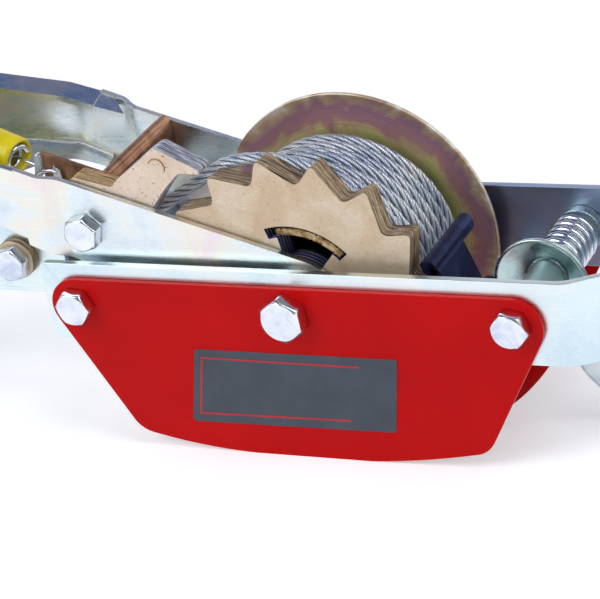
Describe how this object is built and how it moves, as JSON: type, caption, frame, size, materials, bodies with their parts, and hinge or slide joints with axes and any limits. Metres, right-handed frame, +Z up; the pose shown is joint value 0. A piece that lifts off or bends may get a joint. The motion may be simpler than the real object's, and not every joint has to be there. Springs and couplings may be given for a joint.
{
  "type": "come along winch",
  "caption": "Hand ratchet puller: strap frame with red side plates, toothed wheel and flanged rope drum, channel lever with two pawls, pulley block and latched hooks.",
  "frame": {"origin": "on the ground plane, under the centre of the bounding box", "axes": "+X along the frame towards the support hook, +Y from the ratchet wheel to the drum flange, +Z up"},
  "size_m": [0.5304, 0.101, 0.1701],
  "materials": {
    "zinc_plate": "bright zinc plating",
    "yellow_zinc": "yellow chromated zinc plating",
    "bronze_zinc": "brown chromated zinc plating",
    "blued_steel": "dark heat-treated steel",
    "wire_rope": "galvanised wire rope",
    "red_paint": "gloss red paint",
    "yellow_plastic": "satin moulded plastic",
    "black_rubber": "matt moulded rubber"
  },
  "bodies": {
    "frame": {"near_frame_strap": "zinc_plate", "far_frame_strap": "zinc_plate", "axle_bolt": "zinc_plate", "axle_nut": "zinc_plate", "axle_sleeve": "zinc_plate", "left_cross_bolt": "zinc_plate", "left_cross_nut": "zinc_plate", "left_spacer_sleeve": "zinc_plate", "right_cross_bolt": "zinc_plate", "right_cross_nut": "zinc_plate", "right_spacer_sleeve": "zinc_plate", "rope_anchor_terminal": "zinc_plate", "near_block_cheek": "zinc_plate", "far_block_cheek": "zinc_plate", "sheave_bolt": "zinc_plate", "sheave_nut": "zinc_plate", "load_hook_bolt": "zinc_plate", "load_hook_nut": "zinc_plate", "holding_pawl_pin": "zinc_plate", "holding_pawl_spring": "zinc_plate", "spring_cup": "zinc_plate", "spring_collar": "zinc_plate", "near_axle_washer": "zinc_plate", "far_axle_washer": "zinc_plate", "support_hook_bolt": "zinc_plate", "support_hook_nut": "zinc_plate", "sheave_bush": "yellow_zinc", "sheave_collar": "yellow_zinc", "rope_run": "wire_rope", "near_side_plate": "red_paint", "far_side_plate": "red_paint"},
    "drum": {"ratchet_plate_1": "yellow_zinc", "ratchet_plate_2": "yellow_zinc", "ratchet_plate_3": "yellow_zinc", "ratchet_plate_4": "yellow_zinc", "ratchet_plate_5": "yellow_zinc", "drum_barrel": "yellow_zinc", "drum_flange": "yellow_zinc", "rope_outer_layer": "wire_rope", "rope_inner_layers": "wire_rope"},
    "handle": {"handle": "zinc_plate", "handle_grip": "black_rubber", "pawl_pivot_bolt": "zinc_plate", "pawl_pivot_nut": "zinc_plate", "pawl_pivot_sleeve": "zinc_plate", "release_spring": "zinc_plate"},
    "drive_pawl": {"drive_pawl": "yellow_zinc", "pawl_carrier": "bronze_zinc"},
    "release_slider": {"release_slider": "yellow_plastic"},
    "holding_pawl": {"holding_pawl": "blued_steel", "pawl_release_tab": "red_paint"},
    "sheave": {"sheave": "yellow_zinc"},
    "load_hook": {"load_hook": "zinc_plate", "load_latch_rivet": "zinc_plate"},
    "load_latch": {"load_latch": "zinc_plate"},
    "support_hook": {"support_hook": "zinc_plate", "support_latch_rivet": "zinc_plate"},
    "support_latch": {"support_latch": "zinc_plate"}
  },
  "joints": [
    {"name": "drum_spin", "type": "hinge", "parent": "frame", "child": "drum", "pos_m": [0.08024, -0.0018, 0.0612], "axis": [0, 1, 0], "range_deg": [0, 5400]},
    {"name": "handle_swing", "type": "hinge", "parent": "frame", "child": "handle", "pos_m": [0.08024, -0.0018, 0.0612], "axis": [0, 1, 0], "range_deg": [0, 80]},
    {"name": "drive_pawl_pivot", "type": "hinge", "parent": "handle", "child": "drive_pawl", "pos_m": [-0.00277, -0.0018, 0.0889], "axis": [0, 1, 0], "range_deg": [-10, 3], "stiffness_Nm_per_rad": 3},
    {"name": "release_slide", "type": "slide", "parent": "handle", "child": "release_slider", "axis": [-0.9488, 0.2087, 0.2372], "range_m": [-0.002, 0.0062]},
    {"name": "holding_pawl_pivot", "type": "hinge", "parent": "frame", "child": "holding_pawl", "pos_m": [0.14383, -0.0018, 0.0512], "axis": [0, 1, 0], "range_deg": [0, 15], "stiffness_Nm_per_rad": 1.5, "springref_deg": -11.46},
    {"name": "sheave_spin", "type": "hinge", "parent": "frame", "child": "sheave", "pos_m": [-0.05377, -0.0018, 0.0622], "axis": [0, 1, 0], "continuous": true},
    {"name": "load_hook_swing", "type": "hinge", "parent": "frame", "child": "load_hook", "pos_m": [-0.10376, -0.0018, 0.0612], "axis": [0, 1, 0], "range_deg": [-80, 40]},
    {"name": "load_latch_pivot", "type": "hinge", "parent": "load_hook", "child": "load_latch", "pos_m": [-0.12819, -0.0018, 0.04378], "axis": [0, 1, 0], "range_deg": [0, 20], "stiffness_Nm_per_rad": 0.05, "springref_deg": -17.19},
    {"name": "support_hook_swing", "type": "hinge", "parent": "frame", "child": "support_hook", "pos_m": [0.25023, -0.0018, 0.0612], "axis": [0, -1, 0], "range_deg": [0, 155]},
    {"name": "support_latch_pivot", "type": "hinge", "parent": "support_hook", "child": "support_latch", "pos_m": [0.22305, -0.0018, 0.04852], "axis": [0, 1, 0], "range_deg": [0, 20], "stiffness_Nm_per_rad": 0.05, "springref_deg": -17.19}
  ],
  "couplings": [
    {"joint": "release_slide", "follows": "drive_pawl_pivot", "m_per_rad": -0.034377}
  ]
}
